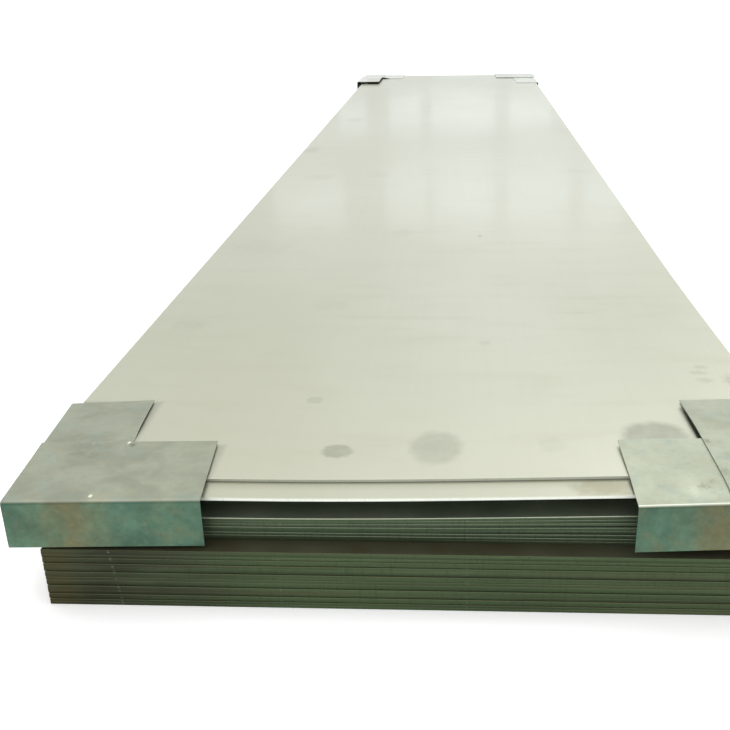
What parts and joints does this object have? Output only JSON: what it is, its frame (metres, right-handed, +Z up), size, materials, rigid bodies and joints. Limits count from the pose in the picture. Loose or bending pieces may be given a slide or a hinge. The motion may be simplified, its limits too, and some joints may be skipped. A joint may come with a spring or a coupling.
{
  "type": "stack of steel plates",
  "caption": "Flat stack of long pale steel plates in slightly shifted packs, with bent sheet-metal angle guards lapped over its corners.",
  "frame": {"origin": "middle of the underside of the lower pack, where the stack rests", "axes": "+X across the plates, +Y along the plates away from the end that the picture shows, +Z up"},
  "size_m": [1.3048, 6.2314, 0.2043],
  "materials": {
    "plate_steel": "pale mill finish, satin",
    "guard_sheet": "galvanised sheet, mottled"
  },
  "bodies": {
    "root": {"plate_01": "plate_steel", "plate_02": "plate_steel", "plate_03": "plate_steel", "plate_04": "plate_steel", "plate_05": "plate_steel", "plate_06": "plate_steel", "plate_07": "plate_steel", "plate_08": "plate_steel", "plate_09": "plate_steel", "plate_10": "plate_steel", "plate_11": "plate_steel", "plate_12": "plate_steel", "plate_13": "plate_steel", "plate_14": "plate_steel", "plate_15": "plate_steel", "plate_16": "plate_steel", "plate_17": "plate_steel", "plate_18": "plate_steel", "plate_19": "plate_steel", "plate_20": "plate_steel", "plate_21": "plate_steel", "plate_22": "plate_steel", "plate_23": "plate_steel", "plate_24": "plate_steel", "plate_25": "plate_steel", "plate_26": "plate_steel", "plate_27": "plate_steel", "plate_28": "plate_steel", "plate_29": "plate_steel", "plate_30": "plate_steel", "plate_31": "plate_steel", "plate_32": "plate_steel", "plate_33": "plate_steel", "plate_34": "plate_steel", "plate_35": "plate_steel", "plate_36": "plate_steel", "end_guard_front_left": "guard_sheet", "end_guard_front_right": "guard_sheet", "end_guard_rear_left": "guard_sheet", "end_guard_rear_right": "guard_sheet", "side_guard_front_left": "guard_sheet", "side_guard_front_right": "guard_sheet", "side_guard_rear_left": "guard_sheet", "side_guard_rear_right": "guard_sheet"}
  },
  "joints": []
}
